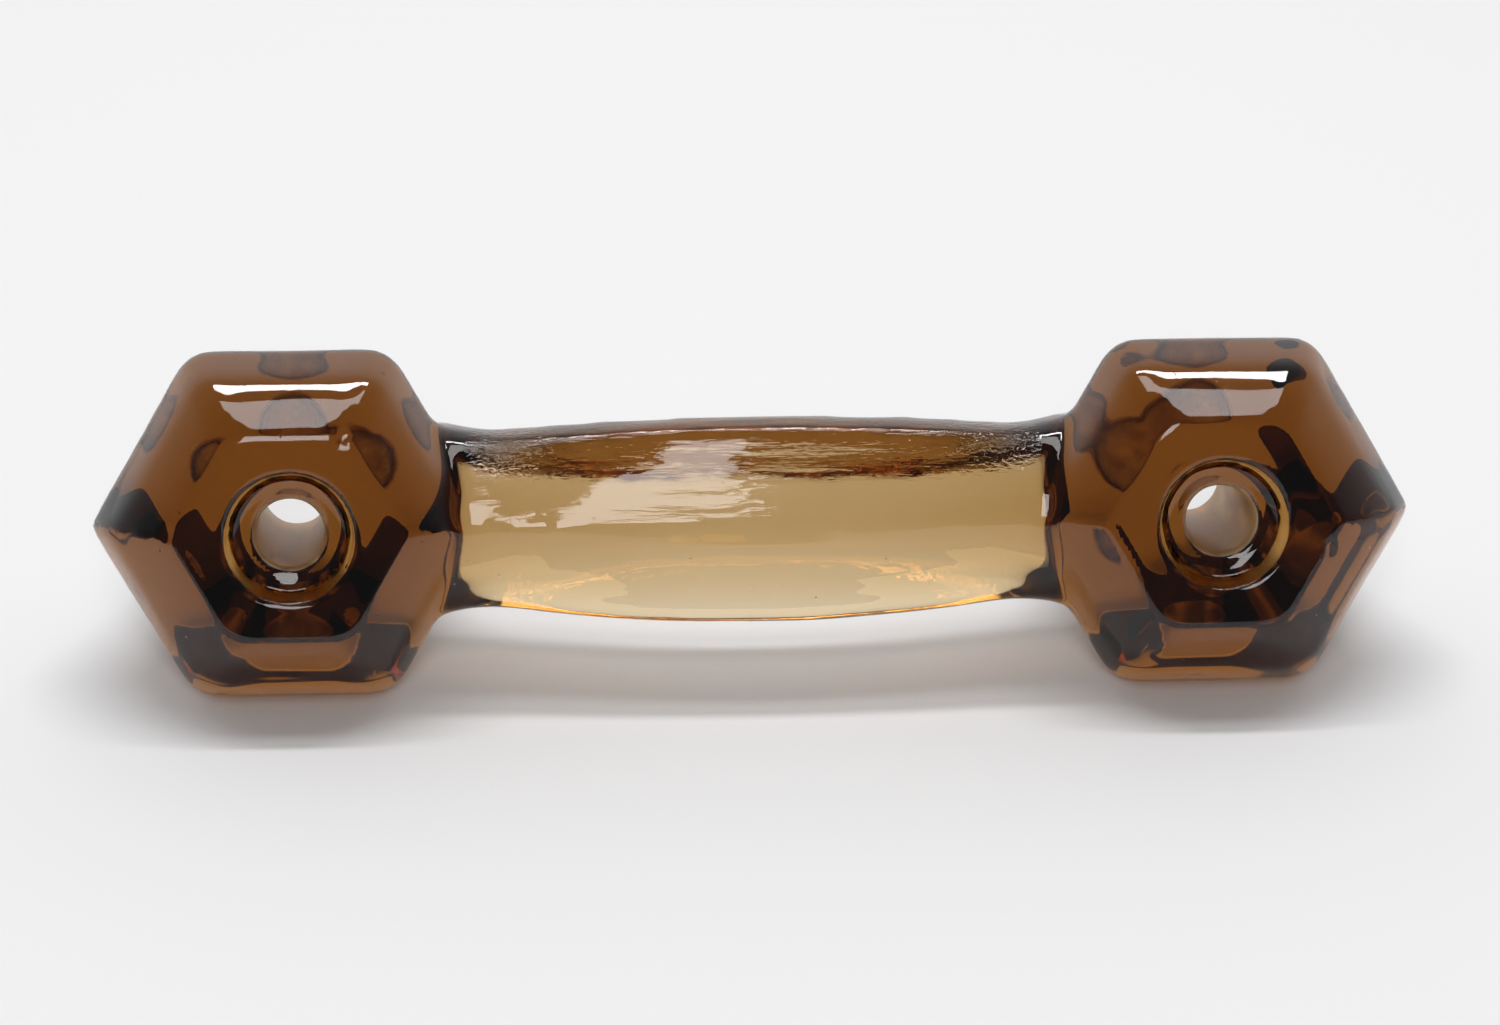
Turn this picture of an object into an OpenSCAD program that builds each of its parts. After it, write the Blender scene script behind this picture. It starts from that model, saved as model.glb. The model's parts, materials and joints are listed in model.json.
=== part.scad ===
// Pressed-glass bridge pull for a drawer: two hexagonal posts joined by a faceted grip bar.
// The bar runs along X, the front faces -Y and +Z is up. The drawer front is the plane y = 0,
// and the origin lies on it, midway between the two bolt holes.
// The glass is one pressing. It is drawn here as three solids that meet face to face.

/* [Posts] */
// Distance between the centres of the two bolt holes
hole_spacing = 76.2; // [70:0.1:128]
// Depth of a post, from the drawer front to its front face
post_depth = 25.4; // [22:0.1:32]
// Half the width across the flats of the front face
face_apothem = 8.4; // [7:0.1:10]
// Half the width across the flats of the shoulder, the edge between the two bevels
shoulder_apothem = 13; // [11:0.1:14]
// Half the width across the flats of the girdle, the widest ring
girdle_apothem = 14.6; // [14.2:0.1:16]
// Half the width across the flats of the foot that stands on the drawer front
foot_apothem = 7; // [6:0.1:12]
// Depth of the shoulder behind the front face
shoulder_depth = 4.1; // [3:0.1:5]
// Depth of the girdle behind the front face
girdle_depth = 8.2; // [7.5:0.1:11]

/* [Bolt holes] */
// Diameter of the hole through each post
bore_d = 5.5; // [4:0.1:6.5]
// Diameter of the recess that hides the bolt's head
recess_d = 10.3; // [8:0.1:12]
// Depth of the recess below the front face
recess_depth = 2.5; // [1.5:0.1:4]

/* [Grip bar] */
// Depth of the centre ridge behind the posts' front faces, at mid-span
ridge_depth = 2.2; // [1:0.1:3]
// How far the ridge lies behind that where it meets a post
ridge_arch = 0.9; // [0:0.1:2]
// Depth of the front facets' outer edges at mid-span
edge_depth = 3.7; // [3.2:0.1:4.2]
// How far those edges lie behind that where they meet a post
edge_arch = 2.8; // [1.5:0.1:3]
// Half the height between the front facets' outer edges at mid-span
edge_half_height = 7.3; // [6:0.1:7.8]
// How far that half height narrows towards the posts
edge_waist = 1.2; // [0:0.1:2]
// Depth of the rounded shoulder above and below the front facets, at mid-span
round_depth = 4.4; // [4.3:0.1:5.5]
// How far that shoulder lies behind that where it meets a post
round_arch = 3; // [2.9:0.1:3.4]
// Half the height between the rounded shoulders at mid-span
round_half_height = 8.3; // [8:0.1:8.6]
// How far that half height narrows towards the posts
round_waist = 1.4; // [0.8:0.1:2]
// Depth of the bar's tallest lines at mid-span
wide_depth = 7.4; // [6.8:0.1:8]
// How far the tallest lines lie behind that where they meet a post
wide_arch = 3.8; // [3.6:0.1:4.5]
// Half the height of the bar at its tallest lines, at mid-span
wide_half_height = 8.8; // [8.6:0.1:10]
// How far that half height narrows towards the posts
wide_waist = 1.7; // [0.5:0.1:2.5]
// Depth of the narrow flat back at mid-span
back_depth = 11.5; // [10.5:0.1:12.5]
// How far the back lies behind that where it meets a post
back_arch = 3; // [2.5:0.1:4.5]
// Half the height of the flat back at mid-span
back_half_height = 1.8; // [1:0.1:6]
// How far that half height narrows towards the posts
back_waist = 0.2; // [0:0.1:0.8]
// How far the bar flares out as it runs into a post
root_flare = 1.2; // [0:0.1:2]

/* [Hidden] */
glass = [0.55, 0.32, 0.19];
thin_glass = [0.75, 0.61, 0.40];
bore_facets = 96;
clear = 1; // how far a cutter runs past the face it cuts

hole_x = hole_spacing / 2;
girdle_reach = girdle_apothem / cos(30); // from the hole's axis to the girdle's corner
joint_x = hole_x - girdle_reach - 0.6; // plane where a post's solid meets the bar's
root_x = hole_x - 14; // where the ridge runs into the post's bevel
stub_x = hole_x - recess_d / 2 - 0.8; // end of the bar's stub, inside the post
span_steps = 24;
stub_steps = 8;

// Depths count backwards from the front face.
function y_at(depth) = depth - post_depth;

// A value that starts at mid for x = 0 and has changed by change at the post.
function arched(mid, change, x) = mid + change * pow(x / root_x, 2);

// Extra size next to a post: 0 at the joint plane, root_flare inside the post.
function flare(x) =
    let (t = min(1, max(0, (abs(x) - joint_x) / (root_x + 1.5 - joint_x))))
    root_flare * t * t;

// Outline of the bar at x, as nine corners from the ridge over the top and round to the underside.
function bar_ring(x) =
    let (
        ridge_y = y_at(arched(ridge_depth, ridge_arch, x)),
        edge_y = y_at(arched(edge_depth, edge_arch, x)),
        round_y = y_at(arched(round_depth, round_arch, x)),
        wide_y = y_at(arched(wide_depth, wide_arch, x)),
        back_y = y_at(arched(back_depth, back_arch, x)),
        edge_h = arched(edge_half_height, -edge_waist, x) + flare(x),
        round_h = arched(round_half_height, -round_waist, x) + flare(x),
        wide_h = arched(wide_half_height, -wide_waist, x) + flare(x),
        back_h = arched(back_half_height, -back_waist, x) + flare(x)
    )
    [
        [x, ridge_y, 0],
        [x, edge_y, edge_h],
        [x, round_y, round_h],
        [x, wide_y, wide_h],
        [x, back_y, back_h],
        [x, back_y, -back_h],
        [x, wide_y, -wide_h],
        [x, round_y, -round_h],
        [x, edge_y, -edge_h],
    ];

// The bar between two planes across X, swept through its outlines.
module bar_length(x_from, x_to, steps) {
    corners = 9;
    points = [
        for (i = [0:steps])
            each bar_ring(x_from + (x_to - x_from) * i / steps)
    ];
    sides = [
        for (i = [0:steps - 1], j = [0:corners - 1])
            let (
                a = i * corners + j,
                b = i * corners + (j + 1) % corners,
                c = a + corners,
                d = b + corners
            )
            each [[a, b, c], [b, d, c]]
    ];
    first_cap = [for (j = [corners - 1:-1:0]) j];
    last_cap = [for (j = [0:corners - 1]) steps * corners + j];
    polyhedron(points, concat([first_cap], sides, [last_cap]), convexity = 4);
}

// The solid outline of a post. Its profile across one pair of flats, with two bevels in front of
// the girdle and a taper to the foot behind it, is crossed with itself at 60 degree steps.
module post_body() {
    half_profile = [
        [face_apothem, y_at(0)],
        [shoulder_apothem, y_at(shoulder_depth)],
        [girdle_apothem, y_at(girdle_depth)],
        [foot_apothem, 0],
    ];
    other_half = [for (i = [len(half_profile) - 1:-1:0]) [-half_profile[i].x, half_profile[i].y]];
    intersection_for(turn = [0, 60, 120])
        rotate([0, turn + 90, 0])
            linear_extrude(height = 4 * girdle_reach, center = true)
                polygon(concat(half_profile, other_half));
}

// The hole right through a post.
module bolt_bore() {
    translate([0, clear, 0])
        rotate([90, 0, 0])
            cylinder(h = post_depth + 2 * clear, d = bore_d, $fn = bore_facets);
}

// The round recess in the front face for the bolt's head.
module head_recess() {
    translate([0, y_at(recess_depth), 0])
        rotate([90, 0, 0])
            cylinder(h = recess_depth + clear, d = recess_d, $fn = bore_facets);
}

// A post with its hole, its recess and the root of the bar; side is -1 for left, 1 for right.
module post(side) {
    color(glass)
        difference() {
            union() {
                translate([side * hole_x, 0, 0])
                    post_body();
                if (side < 0)
                    bar_length(-stub_x, -joint_x, stub_steps);
                else
                    bar_length(joint_x, stub_x, stub_steps);
            }
            translate([side * hole_x, 0, 0]) {
                bolt_bore();
                head_recess();
            }
        }
}

module left_post() {
    post(-1);
}

module grip_bar() {
    color(thin_glass)
        bar_length(-joint_x, joint_x, span_steps);
}

module right_post() {
    post(1);
}

left_post();
grip_bar();
right_post();
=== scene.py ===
"""Amber pressed-glass drawer pull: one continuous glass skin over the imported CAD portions."""

import json
import math

import bmesh
import bpy
from mathutils import Matrix, Vector, noise


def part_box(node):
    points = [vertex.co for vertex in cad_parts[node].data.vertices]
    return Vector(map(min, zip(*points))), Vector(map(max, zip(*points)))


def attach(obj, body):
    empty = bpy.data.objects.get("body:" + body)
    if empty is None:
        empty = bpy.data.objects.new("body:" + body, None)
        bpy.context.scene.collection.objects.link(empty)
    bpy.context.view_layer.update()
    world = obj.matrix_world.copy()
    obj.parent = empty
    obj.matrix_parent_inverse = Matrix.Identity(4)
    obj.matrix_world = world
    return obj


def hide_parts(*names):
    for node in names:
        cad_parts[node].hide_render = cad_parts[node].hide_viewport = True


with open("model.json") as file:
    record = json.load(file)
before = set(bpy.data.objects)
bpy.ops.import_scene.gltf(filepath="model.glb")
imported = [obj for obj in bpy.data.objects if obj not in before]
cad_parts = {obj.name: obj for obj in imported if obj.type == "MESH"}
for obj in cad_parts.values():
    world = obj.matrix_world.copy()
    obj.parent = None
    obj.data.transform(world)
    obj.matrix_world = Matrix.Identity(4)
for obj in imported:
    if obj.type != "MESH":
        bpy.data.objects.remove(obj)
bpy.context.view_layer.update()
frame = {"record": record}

# Shapes are worked out in millimetres and turned to metres when a mesh is finished.
MM = 0.001


def mount_named(name):
    """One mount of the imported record."""
    return next(m for m in frame["record"]["mounts"] if m["name"] == name)


# From the frame
HOLE_X = mount_named("right_bolt_bore")["pos_m"][0] / MM
BORE_R = mount_named("right_bolt_bore")["dims"]["r_mm"]
RECESS_R = mount_named("right_head_recess")["dims"]["r_mm"]
RECESS_DEPTH = mount_named("right_head_recess")["dims"]["length_mm"]
POST_LOW, POST_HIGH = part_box("right_post")
FRONT_Y = POST_LOW[1] / MM
GIRDLE_APOTHEM = POST_HIGH[2] / MM

# The post's hexagonal rings: depth behind the front face, half the width across flats
FACE_APOTHEM = 8.4
SHOULDER_DEPTH, SHOULDER_APOTHEM = 4.1, 13.0
GIRDLE_DEPTH = 8.2
FOOT_APOTHEM = 7.0
# How far the four upper and lower corners of each hexagon are rounded; the mould parts at the other two
CORNER_ROUND = 1.5
# How far the front bevels bulge, and the places across a bevel where its curve has a ring
BEVEL_CROWN = 0.12
CROWN_RINGS = (0.17, 0.34, 0.5, 0.66, 0.83)

# The bar's corners from the front ridge round to the back: depth behind the front face at mid-span
# and its change where it meets a post, then half the height at mid-span and its change
ROOT_X = HOLE_X - 14.0
BAR_CORNERS = [
    (2.2, 0.9, 0.0, 0.0),
    (2.37, 1.3, 1.6, -0.25),
    (2.82, 1.9, 4.2, -0.65),
    (3.7, 2.8, 7.3, -1.2),
    (4.4, 3.0, 8.3, -1.4),
    (7.4, 3.8, 8.8, -1.7),
    (11.5, 3.0, 1.8, -0.2),
]
# The corner at the front facets' outer edge
FRONT_EDGE = 3
# How far the bar flares into a post, where along it that starts and over what length it grows
ROOT_FLARE = 1.2
FLARE_START = ROOT_X - 4.0
FLARE_LENGTH = 5.5
# Glass left between a recess and the end of the bar inside its post
RECESS_WALL = 0.8

# Chips in the posts' edges: x, depth behind the front face, z and radius of each bite
CHIPS = [
    (-HOLE_X - 8.4, -0.2, 5.0, 0.9),
    (-HOLE_X - 14.9, 3.0, 1.5, 1.0),
    (-HOLE_X - 10.0, -0.1, 0.8, 0.8),
    (-HOLE_X + 4.4, -0.25, 8.6, 0.8),
    (HOLE_X - 7.6, -0.2, 5.4, 0.8),
    (HOLE_X + 8.9, -0.2, -2.4, 0.8),
]

# How finely the pressed skin is meshed, and how many passes its edges melt for: everywhere, and
# round the shoulders, girdles and roots
SKIN_GRID = 0.345
EDGE_MELT = 7
SHOULDER_MELT = 60
# Height of the slow swells all over the pressed skin, and of the drag ripples along the bar
SWELL = 0.04
DRAG = 0.012
# Height of the fine drag lines and of the chill wrinkles in the skin's relief, and the size of their
# lumps along x, y and z
DRAG_LINE = 0.08
DRAG_LUMPS = (7.0, 1.0, 0.7)
CHILL_WRINKLE = 0.12
CHILL_LUMPS = (0.5, 0.3, 0.3)
# Pits where seeds burst at the skin: typical spacing, radius and depth
PIT_SPACING = 2.6
PIT_R = 0.16
PIT_DEPTH = 0.03
# Size of the patches where handling has dulled the polish, and of the blotches in the bores' film
WEAR_LUMPS = (5.0, 5.0, 5.0)
FILM_LUMPS = (1.4, 4.0, 1.4)

# The table's half width and half depth, and how far behind the drawer plane it ends, in metres
TABLE_HALF = (1.5, 0.8)
TABLE_END = 0.115


def linear(hex_colour):
    """Linear RGB from an sRGB hex colour."""
    channels = [int(hex_colour[i : i + 2], 16) / 255 for i in (1, 3, 5)]
    return [c / 12.92 if c <= 0.04045 else ((c + 0.055) / 1.055) ** 2.4 for c in channels]


# ---------------------------------------------------------------- mesh helpers


def object_from(bm, name):
    """A mesh object from a finished bmesh, still in millimetres."""
    bmesh.ops.recalc_face_normals(bm, faces=bm.faces[:])
    mesh = bpy.data.meshes.new(name)
    bm.to_mesh(mesh)
    bm.free()
    obj = bpy.data.objects.new(name, mesh)
    bpy.context.scene.collection.objects.link(obj)
    return obj


def apply_modifiers(obj):
    """Makes the modified mesh the object's own."""
    depsgraph = bpy.context.evaluated_depsgraph_get()
    finished = bpy.data.meshes.new_from_object(obj.evaluated_get(depsgraph))
    obj.modifiers.clear()
    old = obj.data
    obj.data = finished
    bpy.data.meshes.remove(old)


def combine(obj, tool, operation):
    """Joins the tool's solid to the object, or cuts it away, and removes the tool."""
    modifier = obj.modifiers.new(operation.lower(), "BOOLEAN")
    modifier.operation = operation
    modifier.solver = "EXACT"
    modifier.object = tool
    apply_modifiers(obj)
    bpy.data.objects.remove(tool)


def extrude_ring(bm, edges):
    """Extrudes a ring of edges and returns the new vertices and edges."""
    new = bmesh.ops.extrude_edge_only(bm, edges=edges)["geom"]
    verts = [g for g in new if isinstance(g, bmesh.types.BMVert)]
    rim = [g for g in new if isinstance(g, bmesh.types.BMEdge) and all(v in verts for v in g.verts)]
    return verts, rim


def close_ends(bm):
    """Fills every open ring with a face."""
    bmesh.ops.holes_fill(bm, edges=[e for e in bm.edges if e.is_boundary], sides=0)


# ---------------------------------------------------------------- the glass


def hex_post(side):
    """A post without its holes: two bevels, the girdle and the taper to the foot."""
    bevel = Vector((SHOULDER_DEPTH, SHOULDER_APOTHEM - FACE_APOTHEM))
    outward = Vector((-bevel.y, bevel.x)).normalized()
    rings = [(0, FACE_APOTHEM)]
    for t in CROWN_RINGS:
        bulge = outward * BEVEL_CROWN * 4 * t * (1 - t)
        rings.append((t * bevel.x + bulge.x, FACE_APOTHEM + t * bevel.y + bulge.y))
    rings += [
        (SHOULDER_DEPTH, SHOULDER_APOTHEM),
        (GIRDLE_DEPTH, GIRDLE_APOTHEM),
        (-FRONT_Y, FOOT_APOTHEM),
    ]
    bm = bmesh.new()
    bmesh.ops.create_circle(bm, segments=6, radius=1)
    corner_to_x = Matrix.Rotation(math.radians(90), 3, "Z")
    bmesh.ops.rotate(bm, verts=bm.verts[:], matrix=Matrix.Rotation(math.radians(90), 3, "X") @ corner_to_x)
    edges = bm.edges[:]
    verts = bm.verts[:]
    size = 1
    depth = 0
    for index, (ring_depth, apothem) in enumerate(rings):
        if index:
            verts, edges = extrude_ring(bm, edges)
        radius = apothem / math.cos(math.radians(30))
        bmesh.ops.scale(bm, verts=verts, vec=(radius / size, 1, radius / size))
        bmesh.ops.translate(bm, verts=verts, vec=(0, ring_depth - depth, 0))
        size = radius
        depth = ring_depth
    close_ends(bm)
    # The edges that run from front to back, apart from the two at mid height
    corners = [
        e
        for e in bm.edges
        if abs(e.verts[0].co.y - e.verts[1].co.y) > 0.1 and abs(e.verts[0].co.z) > 1
    ]
    bmesh.ops.bevel(
        bm,
        geom=corners,
        affect="EDGES",
        offset=CORNER_ROUND,
        segments=10,
        profile=0.5,
        material=-1,
    )
    bmesh.ops.translate(bm, verts=bm.verts[:], vec=(side * HOLE_X, FRONT_Y, 0))
    return object_from(bm, "post")


def bar_outline(x):
    """The bar's corners at x, from the front ridge over the top and the back to the underside."""
    bend = (x / ROOT_X) ** 2
    root = max(0, (abs(x) - FLARE_START) / FLARE_LENGTH)
    flare = ROOT_FLARE * min(1, root) ** 2
    upper = []
    for depth, depth_change, height, height_change in BAR_CORNERS:
        z = height + height_change * bend + flare if height else 0
        upper.append((x, FRONT_Y + depth + depth_change * bend, z))
    lower = [(x, y, -z) for x, y, z in reversed(upper[1:])]
    return upper + lower


def grip_bar():
    """The arched bar, reaching into both posts."""
    reach = HOLE_X - RECESS_R - RECESS_WALL
    steps = 180
    bm = bmesh.new()
    verts = [bm.verts.new(place) for place in bar_outline(-reach)]
    count = len(verts)
    edges = [bm.edges.new((verts[i - 1], verts[i])) for i in range(count)]
    for step in range(1, steps + 1):
        new = bmesh.ops.extrude_edge_only(bm, edges=edges)["geom"]
        fresh = {g for g in new if isinstance(g, bmesh.types.BMVert)}
        verts = [next(e.other_vert(v) for e in v.link_edges if e.other_vert(v) in fresh) for v in verts]
        for v, place in zip(verts, bar_outline(-reach + 2 * reach * step / steps)):
            v.co = place
        edges = [bm.edges.get((verts[i - 1], verts[i])) for i in range(count)]
    close_ends(bm)
    return object_from(bm, "bar")


def bolt_hole(side):
    """The space of one bolt: a bore with a slightly belled mouth, and the recess for the head."""
    past = 2.0
    front = -past
    floor = RECESS_DEPTH
    back = -FRONT_Y + past
    profile = [
        (0, front),
        (RECESS_R + 0.5 + past * 0.1, front),
        (RECESS_R + 0.1, 0.1),
        (RECESS_R, 0.6),
        (RECESS_R - 0.1, floor - 1.0),
        (RECESS_R - 0.5, floor - 0.4),
        (RECESS_R - 1.2, floor),
        (BORE_R + 0.3, floor),
        (BORE_R, floor + 0.5),
        (BORE_R, back),
        (0, back),
    ]
    bm = bmesh.new()
    verts = [bm.verts.new((r, depth, 0)) for r, depth in profile]
    edges = [bm.edges.new(pair) for pair in zip(verts, verts[1:])]
    bmesh.ops.spin(
        bm, geom=verts + edges, cent=(0, 0, 0), axis=(0, 1, 0), angle=math.tau, steps=72, use_merge=True
    )
    bmesh.ops.remove_doubles(bm, verts=bm.verts[:], dist=1e-4)
    bmesh.ops.translate(bm, verts=bm.verts[:], vec=(side * HOLE_X, FRONT_Y, 0))
    return object_from(bm, "hole")


def melt_edges(obj):
    """Meshes the skin evenly and lets its sharp edges melt round, as pressed glass does."""
    exact = obj.copy()
    exact.data = obj.data.copy()
    remesh = obj.modifiers.new("skin", "REMESH")
    remesh.mode = "VOXEL"
    remesh.voxel_size = SKIN_GRID
    remesh.adaptivity = 0
    settle = obj.modifiers.new("settle", "SHRINKWRAP")
    settle.target = exact
    settle.wrap_method = "NEAREST_SURFACEPOINT"
    soften = obj.modifiers.new("melt", "SMOOTH")
    soften.factor = 0.5
    soften.iterations = EDGE_MELT
    apply_modifiers(obj)
    bpy.data.objects.remove(exact)


def knock_chips(obj):
    """Small chips knocked out of the posts' edges: centre of the bite and its radius."""
    for x, depth, z, radius in CHIPS:
        bm = bmesh.new()
        bmesh.ops.create_icosphere(bm, subdivisions=3, radius=radius)
        bmesh.ops.scale(bm, verts=bm.verts[:], vec=(0.7, 1.0, 1.6))
        bmesh.ops.translate(bm, verts=bm.verts[:], vec=(x, FRONT_Y + depth, z))
        combine(obj, object_from(bm, "chip"), "DIFFERENCE")


def ramp(value, low, high):
    """0 below low, 1 above high and smooth between; falls instead when low is above high."""
    t = min(1, max(0, (value - low) / (high - low)))
    return t * t * (3 - 2 * t)


def melt_shoulders(obj):
    """Rounds the shoulders, girdles, roots and the bar's upper and lower edges further than the
    crisp edges of the front. The ramps are distances in millimetres."""
    group = obj.vertex_groups.new(name="shoulders")
    edge_depth, edge_change = BAR_CORNERS[FRONT_EDGE][:2]
    for v in obj.data.vertices:
        depth = v.co.y - FRONT_Y
        from_hole = math.hypot(abs(v.co.x) - HOLE_X, v.co.z)
        post = ramp(depth, 2.0, 3.4) * ramp(depth, 20, 14)
        post *= ramp(from_hole, 7, 10) * ramp(abs(v.co.x), ROOT_X - 4.5, ROOT_X - 1.5)
        behind_edge = depth - edge_depth - edge_change * (v.co.x / ROOT_X) ** 2
        bar = ramp(behind_edge, 0.4, 1.2) * ramp(behind_edge, 6.0, 4.5) * ramp(from_hole, 14, 17)
        weight = max(post, bar)
        if weight > 0:
            group.add([v.index], weight, "REPLACE")
    soften = obj.modifiers.new("shoulders", "SMOOTH")
    soften.factor = 0.5
    soften.iterations = SHOULDER_MELT
    soften.vertex_group = group.name
    apply_modifiers(obj)


def waves(place, sizes, seed):
    """Smooth noise between -1 and 1, with its own size along each axis, in millimetres."""
    return noise.noise(Vector([c / size + seed for c, size in zip(place, sizes)])) * 1.6


def ripple_skin(obj):
    """Unevenness of hand-pressed glass: slow swells everywhere, always inwards, and long drag ripples
    on the bar."""
    mesh = obj.data
    normals = [v.normal.copy() for v in mesh.vertices]
    for v, normal in zip(mesh.vertices, normals):
        swell = SWELL * (waves(v.co, (7, 7, 7), 3.7) - 1.6)
        drag = DRAG * (waves(v.co, (9, 2.2, 1.7), 11.3) + 0.35 * waves(v.co, (5, 0.9, 0.8), 5.1))
        v.co += normal * (swell + drag * ramp(abs(v.co.x), ROOT_X, ROOT_X - 3))


def glass_pull():
    """The whole pressing: both posts and the bar in one skin, with both bolt holes."""
    pull = hex_post(-1)
    combine(pull, hex_post(1), "UNION")
    combine(pull, grip_bar(), "UNION")
    for side in (-1, 1):
        combine(pull, bolt_hole(side), "DIFFERENCE")
    knock_chips(pull)
    melt_edges(pull)
    melt_shoulders(pull)
    ripple_skin(pull)
    pull.name = pull.data.name = "glass_pull"
    pull.data.transform(Matrix.Scale(MM, 4))
    for polygon in pull.data.polygons:
        polygon.use_smooth = True
    return pull


# ---------------------------------------------------------------- materials


def add_node(tree, kind, inputs=None, **settings):
    """Adds a node with its settings, and sets or links its inputs."""
    node = tree.nodes.new(kind)
    for name, value in settings.items():
        setattr(node, name, value)
    for key, value in (inputs or {}).items():
        if isinstance(value, bpy.types.NodeSocket):
            tree.links.new(value, node.inputs[key])
        else:
            node.inputs[key].default_value = value
    return node


def new_material(name):
    """An empty node material and its tree."""
    material = bpy.data.materials.new(name)
    material.use_nodes = True
    material.node_tree.nodes.clear()
    return material, material.node_tree


def bore_mask(tree, place, inner, outer):
    """1 within the inner radius of either bolt hole's axis, fading to 0 at the outer, in millimetres."""
    axes = add_node(tree, "ShaderNodeSeparateXYZ", {"Vector": place})
    across = add_node(tree, "ShaderNodeMath", {0: axes.outputs["X"]}, operation="ABSOLUTE")
    aside = add_node(tree, "ShaderNodeMath", {0: across.outputs[0], 1: HOLE_X * MM}, operation="SUBTRACT")
    flat = add_node(tree, "ShaderNodeCombineXYZ", {"X": aside.outputs[0], "Z": axes.outputs["Z"]})
    radius = add_node(tree, "ShaderNodeVectorMath", {0: flat.outputs[0]}, operation="LENGTH")
    mask = add_node(
        tree,
        "ShaderNodeMapRange",
        {"Value": radius.outputs["Value"], "From Min": outer * MM, "From Max": inner * MM},
    )
    return mask.outputs["Result"]


def zone(tree, *limits):
    """1 inside a zone of the skin and 0 outside it, smooth between. Each limit is a coordinate and the
    two places along it, in millimetres, where the zone begins and where it is full."""
    mask = 1.0
    for coordinate, begin, full in limits:
        edge = add_node(
            tree,
            "ShaderNodeMapRange",
            {"Value": coordinate, "From Min": begin * MM, "From Max": full * MM},
            interpolation_type="SMOOTHSTEP",
        )
        both = {0: mask, 1: edge.outputs["Result"]}
        mask = add_node(tree, "ShaderNodeMath", both, operation="MULTIPLY").outputs[0]
    return mask


def grain(tree, place, sizes, detail):
    """Noise from 0 to 1 whose lumps have the given size along each axis, in millimetres."""
    stretch = tuple(1 / (size * MM) for size in sizes)
    mapped = add_node(tree, "ShaderNodeMapping", {"Vector": place, "Scale": stretch}).outputs["Vector"]
    lumps = add_node(tree, "ShaderNodeTexNoise", {"Vector": mapped, "Scale": 1.0, "Detail": detail})
    return lumps.outputs["Fac"]


def pressed_relief(tree, place):
    """The normal of the pressed skin: drag lines along the bar's upper half, where the glass slid over
    the mould, and chill wrinkles where it first touched, next to the posts."""
    axes = add_node(tree, "ShaderNodeSeparateXYZ", {"Vector": place})
    height = axes.outputs["Z"]
    across = add_node(tree, "ShaderNodeMath", {0: axes.outputs["X"]}, operation="ABSOLUTE").outputs[0]
    between_posts = (across, ROOT_X, ROOT_X - 1.5)
    upper_half = zone(tree, between_posts, (height, 0.2, 1.0))
    chilled = zone(tree, between_posts, (across, 14.0, 21.0), (height, 3.2, 4.2))
    front = zone(tree, (axes.outputs["Y"], FRONT_Y + 8.0, FRONT_Y + 5.0))
    slid = add_node(tree, "ShaderNodeMapRange", {"Value": front, "To Min": 0.5, "To Max": 1.0})
    dragged = {0: upper_half, 1: slid.outputs["Result"]}
    drag = add_node(
        tree,
        "ShaderNodeBump",
        {
            "Strength": add_node(tree, "ShaderNodeMath", dragged, operation="MULTIPLY").outputs[0],
            "Distance": DRAG_LINE * MM,
            "Height": grain(tree, place, DRAG_LUMPS, 3.0),
        },
    )
    chill = add_node(
        tree,
        "ShaderNodeBump",
        {
            "Strength": chilled,
            "Distance": CHILL_WRINKLE * MM,
            "Height": grain(tree, place, CHILL_LUMPS, 2.0),
            "Normal": drag.outputs["Normal"],
        },
    )
    seeds = add_node(
        tree, "ShaderNodeTexVoronoi", {"Vector": place, "Scale": 1 / (PIT_SPACING * MM)}
    ).outputs["Distance"]
    depth = add_node(
        tree,
        "ShaderNodeMapRange",
        {"Value": seeds, "From Min": 0.3 * PIT_R / PIT_SPACING, "From Max": PIT_R / PIT_SPACING},
    )
    pits = add_node(
        tree,
        "ShaderNodeBump",
        {
            "Distance": PIT_DEPTH * MM,
            "Height": depth.outputs["Result"],
            "Normal": chill.outputs["Normal"],
        },
    )
    return pits.outputs["Normal"]


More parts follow.
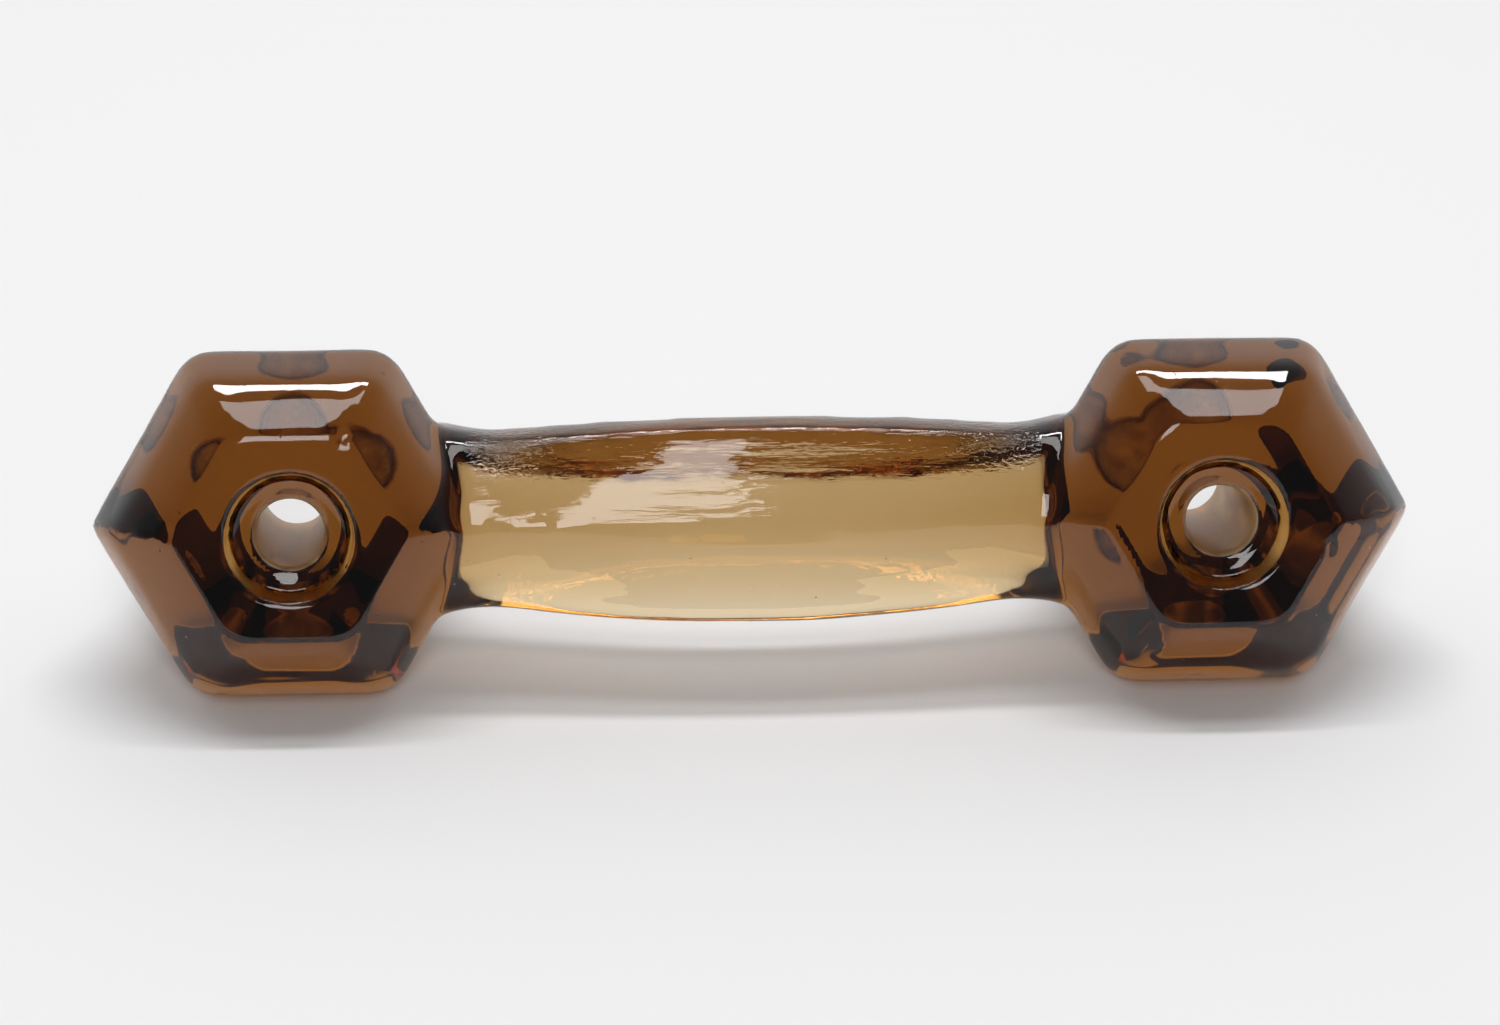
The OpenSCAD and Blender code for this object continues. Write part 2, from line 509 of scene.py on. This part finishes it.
def pressed_amber_glass():
    """Root-beer soda-lime glass, pressed in a mould and fire polished: clear, glossy, coloured by depth.
    The bores are left rough and hold a beige film of old polish and dust."""
    material, tree = new_material("pressed_amber_glass")
    place = add_node(tree, "ShaderNodeTexCoord").outputs["Object"]
    bore = bore_mask(tree, place, BORE_R + 0.2, BORE_R + 0.5)
    blotches = {0: bore, 1: grain(tree, place, FILM_LUMPS, 2.0)}
    film = add_node(tree, "ShaderNodeMath", blotches, operation="MULTIPLY").outputs[0]
    colour = add_node(
        tree,
        "ShaderNodeMix",
        {"Factor": bore, "A": (1, 1, 1, 1), "B": (*linear("#c9a670"), 1)},
        data_type="RGBA",
    )
    clear = add_node(
        tree,
        "ShaderNodeMapRange",
        {"Value": film, "From Min": 0.2, "From Max": 0.6, "To Min": 1.0, "To Max": 0.15},
    )
    worn = add_node(
        tree,
        "ShaderNodeMapRange",
        {
            "Value": grain(tree, place, WEAR_LUMPS, 3.0),
            "From Min": 0.45,
            "From Max": 0.7,
            "To Min": 0.0,
            "To Max": 0.04,
        },
    )
    rough = add_node(
        tree,
        "ShaderNodeMapRange",
        {"Value": bore, "To Min": worn.outputs["Result"], "To Max": 0.45},
    )
    surface = add_node(
        tree,
        "ShaderNodeBsdfPrincipled",
        {
            "Base Color": colour.outputs["Result"],
            "Roughness": rough.outputs["Result"],
            "IOR": 1.52,
            "Transmission Weight": clear.outputs["Result"],
            "Normal": pressed_relief(tree, place),
        },
    )
    # Gold through the thin bar and root-beer brown through the thick posts
    depth = add_node(
        tree,
        "ShaderNodeVolumeAbsorption",
        {"Color": (*linear("#e7d4a4"), 1), "Density": 330.0},
    )
    add_node(
        tree,
        "ShaderNodeOutputMaterial",
        {"Surface": surface.outputs["BSDF"], "Volume": depth.outputs["Volume"]},
    )
    return material


def white_paper_floor():
    """Matt white background paper."""
    material, tree = new_material("white_paper_floor")
    surface = add_node(
        tree,
        "ShaderNodeBsdfPrincipled",
        {"Base Color": (*linear("#f2f2f3"), 1), "Roughness": 0.9, "Specular IOR Level": 0.2},
    )
    add_node(tree, "ShaderNodeOutputMaterial", {"Surface": surface.outputs["BSDF"]})
    return material


# ---------------------------------------------------------------- stage, lights and camera


def table_under(pull):
    """The table: the pull lies on its posts' tapered walls, so the table tilts up towards the back.
    It ends a little behind the pull, so that the back can be seen too."""
    slope = (GIRDLE_APOTHEM - FOOT_APOTHEM) / (-FRONT_Y - GIRDLE_DEPTH)
    height = min(v.co.z - slope * v.co.y for v in pull.data.vertices)
    bm = bmesh.new()
    bmesh.ops.create_grid(bm, x_segments=1, y_segments=1, size=1.0)
    bmesh.ops.scale(bm, verts=bm.verts[:], vec=(*TABLE_HALF, 1))
    bmesh.ops.translate(bm, verts=bm.verts[:], vec=(0, TABLE_END - TABLE_HALF[1], 0))
    bmesh.ops.rotate(bm, verts=bm.verts[:], matrix=Matrix.Rotation(math.atan(slope), 3, "X"))
    bmesh.ops.translate(bm, verts=bm.verts[:], vec=(0, 0, height))
    table = object_from(bm, "table")
    table.data.materials.append(white_paper_floor())


def soft_light(name, place, target, size, power, colour="#ffffff"):
    """A rectangular softbox that faces a point."""
    light = bpy.data.lights.new(name, "AREA")
    light.shape = "RECTANGLE"
    light.size, light.size_y = size
    light.energy = power
    light.color = linear(colour)
    lamp = bpy.data.objects.new(name, light)
    lamp.location = place
    lamp.rotation_euler = (Vector(target) - Vector(place)).to_track_quat("-Z", "Y").to_euler()
    bpy.context.scene.collection.objects.link(lamp)


def studio_surround():
    """A pale room overhead and behind, and a dim one in front."""
    world = bpy.data.worlds.new("studio")
    bpy.context.scene.world = world
    world.use_nodes = True
    tree = world.node_tree
    tree.nodes.clear()
    direction = add_node(tree, "ShaderNodeTexCoord").outputs["Generated"]
    axes = add_node(tree, "ShaderNodeSeparateXYZ", {"Vector": direction})
    shade = add_node(
        tree,
        "ShaderNodeMapRange",
        {"Value": axes.outputs["Y"], "From Min": -0.35, "From Max": 0.4, "To Min": 0.12, "To Max": 1.05},
        interpolation_type="SMOOTHSTEP",
    )
    light = add_node(
        tree, "ShaderNodeBackground", {"Color": (1, 1, 1, 1), "Strength": shade.outputs["Result"]}
    )
    add_node(tree, "ShaderNodeOutputWorld", {"Surface": light.outputs["Background"]})


def studio_lights():
    """Two strip softboxes overhead, and a window behind the camera."""
    target = (0, FRONT_Y * MM / 2, 0)
    soft_light("overhead_front", (0.0, -0.212, 0.587), target, (0.5, 0.09), 0.7)
    soft_light("overhead_back", (0.0, -0.110, 0.612), target, (0.5, 0.045), 1.5)
    soft_light("window", (-0.039, -0.720, 0.260), target, (0.154, 0.40), 1.2)


def camera():
    """A short telephoto at the front, a little above the pull and slightly to its left."""
    azimuth, elevation, roll = (math.radians(a) for a in (-3.03, 9.28, -0.37))
    distance = 448.9 * MM
    target = Vector((-0.73, FRONT_Y, 1.625)) * MM
    back = Vector(
        (
            math.sin(azimuth) * math.cos(elevation),
            -math.cos(azimuth) * math.cos(elevation),
            math.sin(elevation),
        )
    )
    turn = back.to_track_quat("Z", "Y").to_matrix() @ Matrix.Rotation(roll, 3, "Z")
    data = bpy.data.cameras.new("camera")
    data.lens = 132.65
    data.sensor_width = 36
    data.clip_start = 0.01
    eye = bpy.data.objects.new("camera", data)
    eye.matrix_world = Matrix.Translation(target + back * distance) @ turn.to_4x4()
    bpy.context.scene.collection.objects.link(eye)
    bpy.context.scene.camera = eye


pull = glass_pull()
pull.data.materials.clear()
pull.data.materials.append(pressed_amber_glass())
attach(pull, "root")
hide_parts("left_post", "grip_bar", "right_post")
table_under(pull)
studio_surround()
studio_lights()
camera()
bpy.context.scene.view_settings.view_transform = "Standard"
